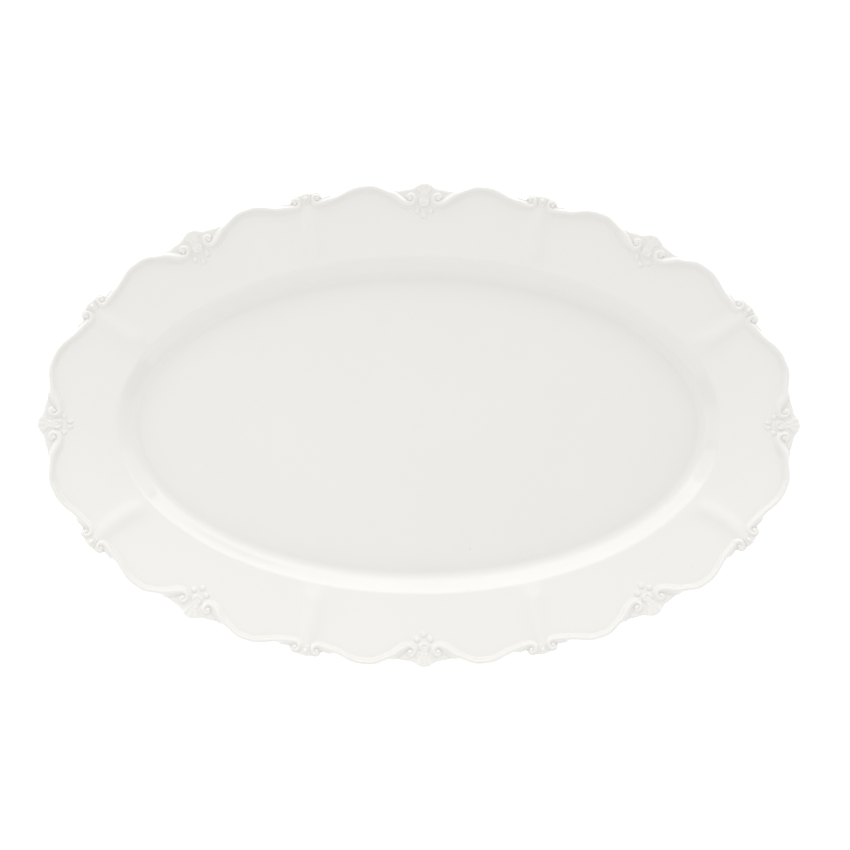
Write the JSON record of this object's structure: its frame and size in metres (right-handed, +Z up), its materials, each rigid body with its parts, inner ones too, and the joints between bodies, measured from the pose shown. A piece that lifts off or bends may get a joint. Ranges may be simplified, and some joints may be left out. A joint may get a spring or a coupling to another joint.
{
  "type": "oval serving platter",
  "caption": "Oval glazed porcelain serving platter with a flat well, a broad panelled rim and a scalloped lip of raised scrolls, fans and pearls.",
  "frame": {"origin": "centre of the foot ring's tread, on the surface the platter stands on", "axes": "+X along the oval's length, +Y across it, +Z up out of the well"},
  "size_m": [0.406, 0.257, 0.0275],
  "materials": {
    "glaze": "warm white gloss glaze over porcelain",
    "relief": "warm white gloss glaze, thin on the crests and pooled in the hollows",
    "bare_foot": "glazed sides with a ground, unglazed tread"
  },
  "bodies": {
    "root": {"foot_ring": "bare_foot", "well_floor": "glaze", "well_wall": "glaze", "rim_panel_1": "glaze", "rim_panel_2": "glaze", "rim_panel_3": "glaze", "rim_panel_4": "glaze", "rim_panel_5": "glaze", "rim_panel_6": "glaze", "rim_panel_7": "glaze", "rim_panel_8": "glaze", "lip_scroll_1": "relief", "lip_scroll_2": "relief", "lip_scroll_3": "relief", "lip_scroll_4": "relief", "lip_scroll_5": "relief", "lip_scroll_6": "relief", "lip_scroll_7": "relief", "lip_scroll_8": "relief", "lip_scroll_9": "relief", "lip_scroll_10": "relief", "lip_scroll_11": "relief", "lip_scroll_12": "relief", "lip_scroll_13": "relief", "lip_scroll_14": "relief", "lip_scroll_15": "relief", "lip_scroll_16": "relief", "fan_crest_1": "relief", "fan_crest_2": "relief", "fan_crest_3": "relief", "fan_crest_4": "relief", "fan_crest_5": "relief", "fan_crest_6": "relief", "fan_crest_7": "relief", "fan_crest_8": "relief", "pearls_1": "relief", "pearls_2": "relief", "pearls_3": "relief", "pearls_4": "relief", "pearls_5": "relief", "pearls_6": "relief", "pearls_7": "relief", "pearls_8": "relief", "shell_crest_1": "relief", "shell_crest_2": "relief", "shell_crest_3": "relief", "shell_crest_4": "relief", "shell_crest_5": "relief", "shell_crest_6": "relief", "shell_crest_7": "relief", "shell_crest_8": "relief"}
  },
  "joints": []
}
